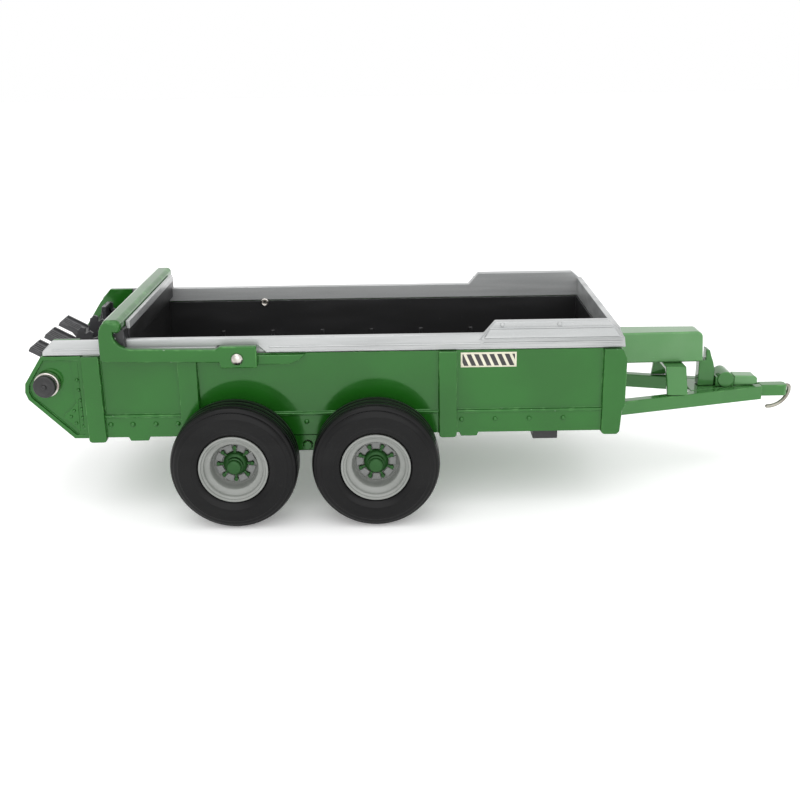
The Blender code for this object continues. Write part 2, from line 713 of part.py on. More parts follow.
def tongue_front():
    """The stepped post under the hood's nose, the gearbox, the driveline guard, and the tip with its hook."""
    deck = BEAM_Z[1] + GAP
    post_outline = [
        (152.0, deck),
        (152.0, 60.5),
        (155.6, 60.5),
        (155.6, 67.0),
        (157.6, 66.4),
        (158.6, 63.0),
        (160.0, 59.4),
        (161.0, 55.0),
        (161.0, deck),
    ]
    hitch_post = plate("XZ", post_outline, (-3.4, 3.4))
    hood_clearance = block((140, 153.2 + GAP), (-9, 9), (60.8 - GAP, 80))
    finish("hitch_post", cut(hitch_post, hood_clearance), "green_paint")
    case = block((161.0 + GAP, 171.5), (-5.6, 5.6), (deck, 51.4))
    boss = rod("Y", (166.6, 50.2), 4.4, (-6.8, 6.8), 20)
    finish("gearbox", join(case, boss), "green_paint")
    guard_outline = [(172.0, deck), (172.0, 51.6), (183.6, 51.2)]
    guard_outline += [(185.2, 49.8), (185.2, 47.0), (183.0, deck)]
    finish("driveline_guard", plate("XZ", guard_outline, (-4.2, 4.2)), "green_paint")
    tip_outline = [(TONGUE_END + GAP, -3.6), (TIP_END - 1.5, -3.6), (TIP_END, -2.4)]
    tip_outline += [(x, -y) for x, y in reversed(tip_outline)]
    finish("tongue_tip", plate("XY", tip_outline, (39.0, BEAM_Z[1] - 0.2)), "green_paint")
    bend = arc((193.43, 43.4), 11.6, -10, -90, 8)
    hook = tube([(204.85, 0, 43.6), *((x, 0, z) for x, z in bend)], HOOK_RADIUS)
    finish("hitch_hook", hook, "hook_steel")


def tongue():
    for word, side in SIDES.items():
        tongue_beam(f"tongue_beam_{word}", side)
    tongue_deck()
    hood()
    hood_stand()
    tongue_front()


# ---------------------------------------------------------------- assembly

for stale in list(bpy.data.objects):
    bpy.data.objects.remove(stale)
model = bpy.data.collections.new("toy_manure_spreader")
bpy.context.scene.collection.children.link(model)

box()
gate()
for side_word, side_sign in SIDES.items():
    gate_rivet(f"gate_rivet_{side_word}", side_sign)
beater()
bogie()
tongue()

for part in model.objects:
    if part.type == "MESH":
        part.data.shade_smooth()
        part.data.set_sharp_from_angle(angle=math.radians(35))
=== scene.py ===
# %% [markdown]
# A toy box spreader: this lesson dresses a plain measured frame as a finished die-cast toy.
# The frame already holds every part at its right size and place, so each step below either gives
# a part its paint, rounds its cast edges, or models a detail that the plain frame lacks.

import json
import math

import bpy
from mathutils import Matrix, Vector

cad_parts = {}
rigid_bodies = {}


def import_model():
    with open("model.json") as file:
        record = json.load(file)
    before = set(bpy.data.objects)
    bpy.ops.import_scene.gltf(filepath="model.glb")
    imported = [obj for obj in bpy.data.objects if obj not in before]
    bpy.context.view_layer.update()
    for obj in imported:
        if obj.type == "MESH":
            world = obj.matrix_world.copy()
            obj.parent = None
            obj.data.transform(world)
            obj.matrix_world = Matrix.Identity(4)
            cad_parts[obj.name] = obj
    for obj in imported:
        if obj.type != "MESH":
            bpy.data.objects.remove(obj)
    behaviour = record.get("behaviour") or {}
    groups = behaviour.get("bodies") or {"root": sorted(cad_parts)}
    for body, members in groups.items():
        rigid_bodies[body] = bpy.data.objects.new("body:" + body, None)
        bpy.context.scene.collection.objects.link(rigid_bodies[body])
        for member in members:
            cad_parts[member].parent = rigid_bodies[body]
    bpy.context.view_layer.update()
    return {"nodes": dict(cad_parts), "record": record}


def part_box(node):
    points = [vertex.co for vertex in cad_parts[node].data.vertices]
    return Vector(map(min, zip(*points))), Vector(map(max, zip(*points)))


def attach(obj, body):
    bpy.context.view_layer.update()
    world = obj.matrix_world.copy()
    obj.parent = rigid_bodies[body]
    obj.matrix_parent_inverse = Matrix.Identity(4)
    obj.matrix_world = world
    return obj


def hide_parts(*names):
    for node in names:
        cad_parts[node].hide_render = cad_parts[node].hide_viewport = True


for stale in list(bpy.data.objects):
    bpy.data.objects.remove(stale)
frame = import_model()
MM = 0.001
SIDES = {"right": -1, "left": 1}
ENDS = ("rear", "front")

# %% [markdown]
# Shader maths reads best as plain sums. Adding and linking each Math node by hand takes five
# lines a time, so a small class wraps the output of a node, and 1 - mask or mask * 3 adds the
# node for it.

# %% Wires that can be added and multiplied
class Wire:
    """The output of a node."""

    def __init__(self, socket):
        self.socket = socket

    def joined(self, operation, first, second):
        node = self.socket.id_data.nodes.new("ShaderNodeMath")
        node.operation = operation
        for place, value in zip(node.inputs, (first, second)):
            if isinstance(value, Wire):
                self.socket.id_data.links.new(value.socket, place)
            else:
                place.default_value = value
        return Wire(node.outputs[0])

    def __add__(self, other):
        return self.joined("ADD", self, other)

    def __rsub__(self, other):
        return self.joined("SUBTRACT", other, self)

    def __mul__(self, other):
        return self.joined("MULTIPLY", self, other)

    __radd__ = __add__

    def between(self, low, high):
        """0 below low, 1 above high, and a soft step from one to the other."""
        node = self.socket.id_data.nodes.new("ShaderNodeMapRange")
        node.interpolation_type = "SMOOTHSTEP"
        self.socket.id_data.links.new(self.socket, node.inputs["Value"])
        node.inputs["From Min"].default_value = low
        node.inputs["From Max"].default_value = high
        return Wire(node.outputs["Result"])

    def repeat(self):
        """The part after the decimal point, which makes a pattern repeat."""
        return self.joined("FRACT", self, 0.0)


# %% [markdown]
# A finish is one material. Its node method adds any other node: it takes the node's type, then its
# settings, then what goes into its sockets.

# %% Finishes
class Finish:
    """One material and the nodes that feed its shader."""

    def __init__(self, name, **fixed):
        self.material = bpy.data.materials.new(name)
        self.material.use_nodes = True
        self.tree = self.material.node_tree
        self.shader = self.tree.nodes["Principled BSDF"]
        for word, value in fixed.items():
            self.shader.inputs[word.replace("_", " ")].default_value = value
        self.place = self.node("ShaderNodeTexCoord", out="Object")

    def node(self, kind, settings=None, values=None, out=0):
        made = self.tree.nodes.new(kind)
        for word, value in (settings or {}).items():
            setattr(made, word, value)
        for word, value in (values or {}).items():
            self.feed(made.inputs[word], value)
        return Wire(made.outputs[out])

    def feed(self, socket, value):
        if isinstance(value, Wire):
            self.tree.links.new(value.socket, socket)
        else:
            socket.default_value = value

    def noise(self, scale, detail=2.0, stretch=(1, 1, 1)):
        """Cloudy noise, with scale in cells per metre along an unstretched axis."""
        where = self.place
        if stretch != (1, 1, 1):
            where = self.node("ShaderNodeMapping", None, {"Vector": self.place, "Scale": stretch})
        values = {"Vector": where, "Scale": scale, "Detail": detail}
        return self.node("ShaderNodeTexNoise", None, values)

    def edge(self):
        """1 on the narrow faces of a rounded edge, 0 elsewhere."""
        return self.node("ShaderNodeAttribute", {"attribute_name": "edge"}, out="Fac")

    def blend(self, mask, first, second):
        """The first colour where mask is 0, the second where it is 1."""
        colours = {0: mask, 6: first, 7: second}
        return self.node("ShaderNodeMix", {"data_type": "RGBA"}, colours, out=2)

    def bump(self, height, depth_mm, strength=1.0):
        values = {"Height": height, "Distance": depth_mm * MM, "Strength": strength}
        self.feed(self.shader.inputs["Normal"], self.node("ShaderNodeBump", None, values))

    def wear(self, **wires):
        for word, value in wires.items():
            self.feed(self.shader.inputs[word.replace("_", " ")], value)


def opaque(red, green, blue):
    return (red, green, blue, 1.0)


# %% [markdown]
# The green is a glossy enamel over a zinc casting. Its gloss comes from a clear coat that mirrors
# the tyres and the floor. Fine orange peel, faint clouds in the colour, and paint that has rubbed
# thin on some cast edges keep it from looking like plastic. A flat green would be simpler, but
# every panel would then look cut from card. The hood and the tongue are the same enamel painted
# lighter, with a pale colour mixed in: painted sheen, for the white room that their upper faces
# reflect. The hubs are the same enamel painted darker and duller, as painted shade in the rims'
# dishes, so one function makes all four.

# %% Green enamel
def enamel(name, body, deep, painted_sheen=0.0, gloss=0.1, coat=0.3):
    """Paint that drifts between two greens. The fourth argument is how much pale colour is mixed
    in: painted sheen, standing in for reflected white light.
    """
    finish = Finish(name, Coat_Weight=coat, Coat_Roughness=0.05, IOR=1.62)
    finish.shader.inputs["Specular Tint"].default_value = opaque(0.55, 1.0, 0.55)
    cloud = finish.noise(28, 3).between(0.35, 0.68)
    colour = finish.blend(cloud, opaque(*body), opaque(*deep))
    # Pale colour mixed in: painted sheen, standing in for the white room reflected by the paint.
    painted_sheen_mix = (0.7 + finish.noise(60, 4).between(0.3, 0.75) * 0.3) * painted_sheen
    colour = finish.blend(painted_sheen_mix, colour, opaque(0.42, 0.52, 0.4))
    thin = finish.edge() * finish.noise(170, 4).between(0.46, 0.7)
    colour = finish.blend(thin * 0.25, colour, opaque(0.16, 0.42, 0.13))
    chip = finish.edge() * finish.noise(420, 3).between(0.69, 0.72)
    colour = finish.blend(chip * 0.35, colour, opaque(0.36, 0.37, 0.36))
    smear = finish.noise(45, 3, (1, 1, 3)).between(0.4, 0.8)
    finish.wear(Base_Color=colour, Roughness=gloss + smear * 0.14 + painted_sheen * 0.3)
    finish.bump(finish.noise(420, 2) * 0.5 + finish.noise(95, 2) * 2.0, 0.03, 0.35)
    return finish.material


GREEN = enamel("green_enamel", (0.012, 0.1, 0.009), (0.01, 0.082, 0.007), coat=0.2)
# The hood and tongue greens are lighter copies of the body green: painted light for their paler
# look.
HOOD_GREEN_LIT = enamel(
    "green_enamel_hood_lit", (0.03, 0.17, 0.026), (0.026, 0.155, 0.022), painted_sheen=0.16, coat=0.5
)
TONGUE_GREEN_LIT = enamel(
    "green_enamel_tongue_lit", (0.017, 0.12, 0.013), (0.014, 0.1, 0.011), painted_sheen=0.05, coat=0.26
)
# The hub green is a darker copy of the body green: painted shade for hubs set in the rims' dishes.
HUB_GREEN_SHADED = enamel(
    "green_enamel_hubs_shaded", (0.005, 0.045, 0.004), (0.004, 0.034, 0.003), gloss=0.36, coat=0.0
)
print("enamels", GREEN.name, HOOD_GREEN_LIT.name, TONGUE_GREEN_LIT.name, HUB_GREEN_SHADED.name)

# %% [markdown]
# The rails are sprayed silver: a fine metallic paint with a soft sheen, drawn a little along the
# rail, with tiny specks of flake and greyer paint where hands rub the edges. A full metal would
# mirror the room and turn dark, so it is only one third metallic. The rivets, shafts and the hook
# are real metal, and share a function of their own.

# %% Silver paint and bright metal
def silver():
    """Sprayed silver paint."""
    finish = Finish("silver_paint", Metallic=0.35, Coat_Weight=0.25, Coat_Roughness=0.2)
    streak = finish.noise(60, 4, (0.2, 1, 3)).between(0.35, 0.7)
    colour = finish.blend(streak, opaque(0.48, 0.49, 0.49), opaque(0.36, 0.37, 0.37))
    flake = finish.noise(2600, 1).between(0.62, 0.7)
    colour = finish.blend(flake * 0.2, colour, opaque(0.74, 0.75, 0.76))
    rubbed = finish.edge() * finish.noise(240, 3).between(0.5, 0.7)
    colour = finish.blend(rubbed * 0.6, colour, opaque(0.36, 0.37, 0.38))
    finish.wear(Base_Color=colour, Roughness=0.3 + streak * 0.1)
    finish.bump(finish.noise(1500, 2), 0.02, 0.4)
    return finish.material


def metal(name, bright, dull, roughness, grain, stretch=(1, 1, 1)):
    """Plated or bare metal with a fine directional grain and dull spots."""
    finish = Finish(name, Metallic=1.0)
    tarnish = finish.noise(180, 4).between(0.4, 0.75)
    line = finish.noise(grain, 3, stretch)
    finish.wear(Base_Color=finish.blend(tarnish, opaque(*bright), opaque(*dull)))
    finish.wear(Roughness=roughness + tarnish * 0.18 + line * 0.1)
    finish.bump(line, 0.02, 0.5)
    return finish.material


SILVER = silver()
NICKEL = metal("nickel_plate", (0.62, 0.59, 0.55), (0.36, 0.32, 0.29), 0.16, 1400, (1, 0.2, 1))
WIRE_STEEL = metal("bare_wire", (0.36, 0.35, 0.3), (0.2, 0.18, 0.15), 0.32, 900, (1, 1, 1))
print("metals", SILVER.name, NICKEL.name, WIRE_STEEL.name)

# %% [markdown]
# The tub, the gate panel and the beater are moulded black plastic: satin, with a fine grain, faint
# flow marks, and pale scuffs on the edges. The beater takes a lighter copy of that black, which is
# painted light on its paddles. The tyres are a soft black rubber with a little dust, and the rims
# are a pale grey plastic; the pads in their dishes take a darker copy of that grey, as painted
# shade.
# They differ only in numbers, so one function makes them all.

# %% Plastic and rubber
def plastic(name, base, flow, scuff, roughness, grain_mm=0.03, shine=0.5):
    """Moulded plastic or rubber: its colour, its flow marks, and its scuffed edges."""
    finish = Finish(name, Specular_IOR_Level=shine)
    mark = finish.noise(38, 4, (0.5, 1, 2)).between(0.4, 0.75)
    colour = finish.blend(mark, opaque(*base), opaque(*flow))
    rub = finish.edge() * finish.noise(300, 4).between(0.48, 0.66)
    colour = finish.blend(rub * 0.55, colour, opaque(*scuff))
    dust = finish.noise(900, 2).between(0.66, 0.74)
    colour = finish.blend(dust * 0.25, colour, opaque(*scuff))
    finish.wear(Base_Color=colour, Roughness=roughness + mark * 0.1 + rub * 0.1)
    finish.bump(finish.noise(1800, 2), grain_mm, 0.6)
    return finish.material


BLACK = plastic(
    "black_plastic", (0.012, 0.012, 0.0125), (0.017, 0.017, 0.018), (0.09, 0.09, 0.095), 0.34
)
# A lighter copy of the black plastic: painted light on the beater's paddles.
PADDLE_BLACK_LIT = plastic(
    "paddle_plastic_lit", (0.038, 0.038, 0.041), (0.06, 0.06, 0.064), (0.2, 0.2, 0.21), 0.28
)
RUBBER = plastic(
    "tyre_rubber", (0.003, 0.003, 0.0033), (0.006, 0.006, 0.0062), (0.022, 0.021, 0.02), 0.3,
    grain_mm=0.04, shine=0.2,
)
RIM_GREY = plastic(
    "rim_plastic", (0.25, 0.26, 0.245), (0.2, 0.21, 0.195), (0.55, 0.56, 0.54), 0.32
)
# A darker copy of the rim grey: painted shade on the pads deep in the rim's dish.
PAD_GREY_SHADED = plastic("rim_pads_shaded", (0.2, 0.205, 0.2), (0.15, 0.155, 0.15), (0.42, 0.42, 0.41), 0.32)
print("plastics", BLACK.name, RUBBER.name, RIM_GREY.name)

# %% [markdown]
# Modelling by operator needs care with what is selected, since each operator acts on all of it.
# These helpers take one object, pick faces or points by a test on their place, apply a modifier,
# smooth or join pieces, and hand a finished piece to the body that it moves with.

# %% Hands for the modelling tools
def let_go():
    """Leaves nothing selected."""
    bpy.ops.object.select_all(action="DESELECT")


def take(piece):
    """Leaves one object selected and active."""
    let_go()
    piece.select_set(True)
    bpy.context.view_layer.objects.active = piece


def fresh(name):
    """Names the primitive that was just added."""
    piece = bpy.context.object
    piece.name = name
    piece.data.name = name
    return piece


def settle(piece):
    """Moves the object's place, turn and size into its mesh."""
    take(piece)
    bpy.ops.object.transform_apply(location=True, rotation=True, scale=True)


def pick_faces(piece, test):
    """In edit mode afterwards, with only the faces that pass the test selected."""
    bpy.ops.object.mode_set(mode="OBJECT")
    bpy.context.tool_settings.mesh_select_mode = (False, False, True)
    for part in (piece.data.vertices, piece.data.edges):
        part.foreach_set("select", [False] * len(part))
    for face in piece.data.polygons:
        face.select = test(face.center / MM, face.normal)
    bpy.ops.object.mode_set(mode="EDIT")


def pick_points(piece, test):
    """In edit mode afterwards, with only the vertices that pass the test selected."""
    bpy.ops.object.mode_set(mode="OBJECT")
    bpy.context.tool_settings.mesh_select_mode = (True, False, False)
    for part in (piece.data.polygons, piece.data.edges):
        part.foreach_set("select", [False] * len(part))
    for point in piece.data.vertices:
        point.select = test(point.co / MM)
    bpy.ops.object.mode_set(mode="EDIT")


def modify(piece, kind, **settings):
    """Adds a modifier with its settings and applies it."""
    take(piece)
    tool = piece.modifiers.new(kind.lower(), kind)
    for word, value in settings.items():
        setattr(tool, word, value)
    bpy.ops.object.modifier_apply(modifier=tool.name)


def smooth(piece, degrees):
    """Shades the piece smooth, but keeps a crease where faces meet at more than this angle."""
    take(piece)
    bpy.ops.object.shade_smooth_by_angle(angle=math.radians(degrees))


def join_up(pieces):
    """Makes several objects one, under the name of the first."""
    take(pieces[0])
    for piece in pieces:
        piece.select_set(True)
    bpy.ops.object.join()
    return pieces[0]


def round_edges(piece, width_mm, segments=2, limit=34.0):
    """Rounds the sharp edges, and marks the new narrow faces in the attribute named edge."""
    piece.data.materials.clear()
    for _ in range(2):
        piece.data.materials.append(GREEN)
    angle = {"limit_method": "ANGLE", "angle_limit": math.radians(limit)}
    shape = {"width": width_mm * MM, "segments": segments, "use_clamp_overlap": False}
    modify(piece, "BEVEL", material=1, **shape, **angle)
    marks = [float(face.material_index) for face in piece.data.polygons]
    attributes = piece.data.attributes
    edge = attributes.get("edge") or attributes.new("edge", "FLOAT", "FACE")
    edge.data.foreach_set("value", marks)
    piece.data.polygons.foreach_set("material_index", [0] * len(marks))
    piece.data.materials.clear()
    smooth(piece, 50)
    modify(piece, "WEIGHTED_NORMAL", keep_sharp=True)


def hand_over(piece, body, slot, finish, *nodes):
    """Gives a finished piece its paint, its body, and the plain nodes it stands for."""
    piece.data.materials.clear()
    piece.data.materials.append(finish)
    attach(piece, body)
    if nodes:
        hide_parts(*nodes)
    print(piece.name, len(piece.data.polygons), "faces on", body)


bodies = frame["record"]["behaviour"]["bodies"]
body_of_node = {node: body for body, nodes in bodies.items() for node in nodes}

# %% [markdown]
# A casting never has knife edges: paint and mould leave a small radius. Each casting is taken as a
# copy of its measured solid, its triangles are merged into whole faces, and its edges are rounded.
# Modelling each one again would risk its size. A rounding that is too wide for a small face can
# throw a spike, so every point is measured against the solid, and a narrower one is tried.

# %% Round the castings
def whole_faces(node, weld_mm):
    """A copy of a node's mesh with its triangles merged into whole faces."""
    piece = bpy.data.objects.new(node + "_cast", frame["nodes"][node].data.copy())
    bpy.context.scene.collection.objects.link(piece)
    take(piece)
    bpy.ops.object.mode_set(mode="EDIT")
    bpy.ops.mesh.select_all(action="SELECT")
    bpy.ops.mesh.remove_doubles(threshold=weld_mm * MM)
    bpy.ops.mesh.dissolve_limited(angle_limit=math.radians(1.5))
    bpy.ops.object.mode_set(mode="OBJECT")
    return piece


def strays(piece, node, allowed):
    """True where rounding threw a point off the measured solid."""
    solid = frame["nodes"][node]
    points = [point.co for point in piece.data.vertices]
    gaps = [(solid.closest_point_on_mesh(point)[1] - point).length for point in points]
    return max(gaps) > allowed


FINE_WELD = 0.01
NARROWEST = 0.05
MOST_WIDTHS_OFF = 1.2


def soften(node, width_mm, slot, finish, weld_mm=FINE_WELD, segments=2):
    """Rounds a casting's edges, more narrowly where a width doesn't fit its small faces."""
    for share in (1.0, 0.7, 0.45, 0.25):
        piece = whole_faces(node, weld_mm)
        width = width_mm * share
        round_edges(piece, width, segments)
        if not strays(piece, node, MOST_WIDTHS_OFF * width * MM):
            break
        bpy.data.objects.remove(piece)
    else:
        piece = whole_faces(node, FINE_WELD)
        round_edges(piece, NARROWEST, 1)
        width = NARROWEST
    print(node, "rounded by", round(width, 3), "mm")
    hand_over(piece, body_of_node[node], slot, finish, node)
    return piece


for word in SIDES:
    soften(f"side_{word}", 0.4, "green_paint", GREEN)
    soften(f"end_plate_{word}", 0.25, "green_paint", GREEN)
    soften(f"bogie_beam_{word}", 0.4, "green_paint", GREEN)
    soften(f"bogie_hanger_{word}", 0.3, "green_paint", GREEN)
    soften(f"tongue_beam_{word}", 0.5, "green_paint", TONGUE_GREEN_LIT, segments=3)
    soften(f"pivot_bolt_{word}", 0.3, "green_paint", GREEN)
for plain in ("front_wall", "floor_pan", "cross_member_rear", "cross_member_front"):
    soften(plain, 0.3, "green_paint", GREEN)
soften("top_rail", 0.45, "silver_paint", SILVER)
soften("tub_liner", 0.3, "black_plastic", BLACK)
soften("gate_panel", 0.35, "black_plastic", BLACK)
soften("gate_lip", 0.3, "silver_paint", SILVER)
# The rotor takes the lighter copy of the black plastic: painted light on its paddles.
soften("beater_rotor", 0.2, "black_plastic", PADDLE_BLACK_LIT)
# The tongue parts and the hood take the lighter copies of the green: painted light.
tongue_widths = {"tongue_deck": 0.35, "hood_stand": 0.55, "hitch_post": 0.5, "tongue_tip": 0.6}
for plain, width in tongue_widths.items():
    soften(plain, width, "green_paint", TONGUE_GREEN_LIT)
soften("driveline_hood", 0.9, "green_paint", HOOD_GREEN_LIT, segments=3)
soften("driveline_guard", 0.6, "green_paint", HOOD_GREEN_LIT)
soften("gearbox", 0.35, "green_paint", TONGUE_GREEN_LIT, weld_mm=0.2)

# %% [markdown]
# Round parts are drawn as half a section and spun. The section starts as one vertex, which is
# extruded from point to point. Each point is a radius and a height, and the height is measured
# outwards along the wheel's axle. Stacked cylinders would give the same steps but no soft lips.

# %% Draw a line and spin it
def drawn(name, points):
    """In edit mode afterwards, with a new object that is one line through the points."""
    let_go()
    bpy.ops.mesh.primitive_plane_add(size=MM, location=points[0])
    piece = fresh(name)
    settle(piece)
    bpy.ops.object.mode_set(mode="EDIT")
    bpy.ops.mesh.select_mode(type="VERT")
    bpy.ops.mesh.select_all(action="SELECT")
    bpy.ops.mesh.merge(type="CENTER")
    for here, there in zip(points, points[1:]):
        bpy.ops.mesh.extrude_region_move(TRANSFORM_OT_translate={"value": there - here})
    bpy.ops.mesh.select_all(action="SELECT")
    return piece


def spun(name, middle, side, section, steps):
    """A body of revolution about a line along Y through middle, in millimetres."""
    centre = Vector(middle)
    points = [(centre + Vector((radius, side * out, 0))) * MM for radius, out in section]
    piece = drawn(name, points)
    bpy.ops.mesh.spin(steps=steps, angle=2 * math.pi, center=centre * MM, axis=(0, 1, 0))
    bpy.ops.mesh.select_all(action="SELECT")
    bpy.ops.mesh.remove_doubles(threshold=0.004 * MM)
    bpy.ops.mesh.normals_make_consistent(inside=False)
    bpy.ops.object.mode_set(mode="OBJECT")
    return piece


def copied(piece, name, move):
    """A copy with its own mesh, moved by a matrix."""
    twin = bpy.data.objects.new(name, piece.data.copy())
    bpy.context.scene.collection.objects.link(twin)
    twin.data.transform(move)
    return twin


def middle_of(node):
    """The middle of a node's box, in millimetres."""
    low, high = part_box(node)
    return (low + high) / (2 * MM)


wheel_middle = middle_of("tyre_rear_right")
print("rear right wheel middle, mm", [round(value, 2) for value in wheel_middle])

# %% [markdown]
# The tyre is a ribbed implement tyre. Its sidewall is flat with two thin raised rings, its shoulder
# carries a groove, and four grooves run round the tread. Nothing on it crosses the tread, so all of
# it fits in one section, and no pattern of blocks has to be bent round the wheel.

# %% Tyre
def tyre_section():
    """A closed line: one side is drawn, and the other is its mirror image."""
    wall = [(17.5, 8.4), (17.8, 9.1), (18.6, 9.9), (20.0, 10.55), (20.7, 10.75), (21.0, 10.95)]
    wall += [(21.4, 10.8), (23.4, 11.1), (25.6, 11.2), (26.4, 11.15), (26.7, 11.25), (27.1, 11.25)]
    wall += [(27.3, 11.0)]
    shoulder = [(28.4, 10.75), (29.3, 10.3), (29.75, 9.85), (29.65, 9.45), (29.0, 9.2)]
    shoulder += [(29.05, 8.75), (30.3, 8.7), (30.9, 8.35), (31.4, 7.7), (31.65, 6.95), (31.6, 6.6)]
    shoulder += [(30.8, 6.45), (30.8, 5.95)]
    tread = [(31.8, 5.8), (31.95, 5.4), (32.0, 4.2), (31.95, 3.1), (31.8, 2.75), (30.9, 2.65)]
    tread += [(30.9, 2.15), (31.85, 2.0), (32.0, 1.5), (32.0, 0.0)]
    outer = wall + shoulder + tread
    return outer + [(radius, -out) for radius, out in reversed(outer[:-1])] + wall[:1]


tyre = spun("tyre_pattern", wheel_middle, -1, tyre_section(), 96)
smooth(tyre, 42)
print("tyre faces", len(tyre.data.polygons))

# %% [markdown]
# The rim is a stepped dish: a rolled lip, two narrow steps, a deep barrel, and a disc at the bottom
# of it. Behind the disc it is open, as a moulded rim is. The section runs once round all of that,
# back along the seat of the tyre to where it began, so the rim is a closed solid.

# %% Rim
lip = [(17.3, 8.5), (17.4, 9.0), (17.3, 9.5), (16.9, 9.75), (16.4, 9.7), (16.1, 9.4), (16.0, 8.9)]
steps = [(15.6, 8.6), (15.2, 8.5), (14.95, 8.2), (14.85, 6.9), (14.6, 6.5), (13.6, 6.1)]
steps += [(12.6, 5.9)]
barrel = [(12.15, 5.6), (11.95, 5.1), (11.75, 2.0), (11.6, -0.6), (11.3, -0.95), (10.9, -0.9)]
disc = [(10.6, -0.6), (10.2, -0.5), (2.6, -0.5), (2.6, -3.3), (14.9, -3.3)]
back = [(15.2, -3.6), (15.6, -8.4), (16.0, -9.0), (16.9, -9.15), (17.3, -8.9), (17.4, -8.4)]
seat = [(17.0, -7.2), (16.6, 0.0), (16.9, 7.4), (17.3, 8.5)]
rim = spun("rim_pattern", wheel_middle, -1, lip + steps + barrel + disc + back + seat, 72)
smooth(rim, 38)
print("rim faces", len(rim.data.polygons))

# %% [markdown]
# Things that stand in a ring are modelled once at the top and turned round the axle in edit mode.
# Eight pads fill the rim's disc, and eight stud bars with nuts stand on the hub between them. An
# array modifier could repeat them too, but it needs a second object to turn about.

# %% A ring of one shape
STUDS = 8
STUD_STEP = 360 / STUDS


def ring_of(piece, middle, count, first=0.0):
    """Turns a shape to its first place, then fills the circle with copies of it."""
    take(piece)
    about = {"orient_axis": "Y", "center_override": Vector(middle) * MM}
    bpy.ops.object.mode_set(mode="EDIT")
    bpy.ops.mesh.select_all(action="SELECT")
    bpy.ops.transform.rotate(value=first, **about)
    for _ in range(count - 1):
        bpy.ops.mesh.duplicate()
        bpy.ops.transform.rotate(value=2 * math.pi / count, **about)
    bpy.ops.object.mode_set(mode="OBJECT")


def slab(name, low, high, width_mm=0.3, segments=2):
    """A rounded bar between two corners, in millimetres."""
    low, high = Vector(low) * MM, Vector(high) * MM
    let_go()
    bpy.ops.mesh.primitive_cube_add(size=1, location=(low + high) / 2, scale=high - low)
    piece = fresh(name)
    settle(piece)
    round_edges(piece, width_mm, segments)
    return piece


def on_wheel(across, out, up):
    """A point given by its place on the rear right wheel's face."""
    return (wheel_middle[0] + across, wheel_middle[1] - out, wheel_middle[2] + up)


PAD_FOOT = 6.6
pads = slab("pad_pattern", on_wheel(-2.5, -1, PAD_FOOT), on_wheel(2.5, 0.35, 10.1), 0.35)
pick_faces(pads, lambda middle, normal: middle.z < wheel_middle.z + PAD_FOOT + 0.6)
foot = Vector(on_wheel(0, 0, PAD_FOOT)) * MM
bpy.ops.transform.resize(value=(0.68, 1, 1), center_override=foot)
bpy.ops.object.mode_set(mode="OBJECT")
ring_of(pads, wheel_middle, STUDS, math.radians(STUD_STEP / 2))
print("pads", len(pads.data.polygons))

# %% [markdown]
# The hub is a stepped nose on a flange, which holds the wheel on its axle. Each stud is a short bar
# out to a round nut, all in green. The nose is spun, and one stud is copied round it.

# %% Hub
nose = [(0, 7.4), (2.6, 7.4), (3.3, 7.15), (3.75, 6.5), (3.85, 5.6), (3.6, 5.3), (3.6, 4.9)]
nose += [(4.15, 4.6), (4.25, 2.6)]
flange = [(4.9, 2.2), (5.6, 1.8), (6.0, 1.2), (6.2, 0.2), (6.3, -0.45), (0, -0.45)]
hub = spun("hub_pattern", wheel_middle, -1, nose + flange, 48)
smooth(hub, 40)
bars = slab("stud_bars", on_wheel(-0.6, -0.5, 4.5), on_wheel(0.6, 1.15, 8.6), 0.25)
let_go()
nut_place = Vector(on_wheel(0, 0.45, 8.5)) * MM
bpy.ops.mesh.primitive_cylinder_add(
    vertices=16, radius=1.0 * MM, depth=1.9 * MM, location=nut_place, rotation=(math.pi / 2, 0, 0)
)
nuts = fresh("stud_nuts")
settle(nuts)
round_edges(nuts, 0.25)
for piece in (bars, nuts):
    ring_of(piece, wheel_middle, STUDS)
join_up([hub, bars, nuts])
print("hub faces", len(hub.data.polygons))

# %% [markdown]
# One wheel serves for all four. A left wheel is the same wheel turned half a turn about a
# vertical line, and the front pair stands half a stud step further round, because wheels never
# stop alike. A mirrored copy would turn its faces inside out, so the wheels are turned instead.

# %% Four wheels
def wheel_move(end, word):
    """The matrix that takes the first wheel to another wheel's place."""
    here = Matrix.Translation(wheel_middle * MM)
    there = Matrix.Translation(middle_of(f"tyre_{end}_{word}") * MM)
    about = Matrix.Rotation(math.pi if word == "left" else 0.0, 4, "Z")
    spin = Matrix.Rotation(math.radians(STUD_STEP / 2 if end == "front" else 0.0), 4, "Y")
    return there @ spin @ about @ here.inverted()


for end in ENDS:
    for word in SIDES:
        spot = f"{end}_{word}"
        move, body = wheel_move(end, word), f"wheel_{spot}"
        tread = copied(tyre, f"tread_{spot}", move)
        hand_over(tread, body, "tyre_rubber", RUBBER, f"tyre_{spot}")
        dish = copied(rim, f"dish_{spot}", move)
        hand_over(dish, body, "rim_paint", RIM_GREY, f"rim_{spot}")
        # The pads take the darker copy of the rim grey: painted shade.
        hand_over(copied(pads, f"pads_{spot}", move), body, "rim_paint", PAD_GREY_SHADED)
        # The hubs take the darker copy of the green: painted shade.
        studs = copied(hub, f"studs_{spot}", move)
        hand_over(studs, body, "green_paint", HUB_GREEN_SHADED, f"hub_{spot}")
for pattern in (tyre, rim, pads, hub):
    bpy.data.objects.remove(pattern)

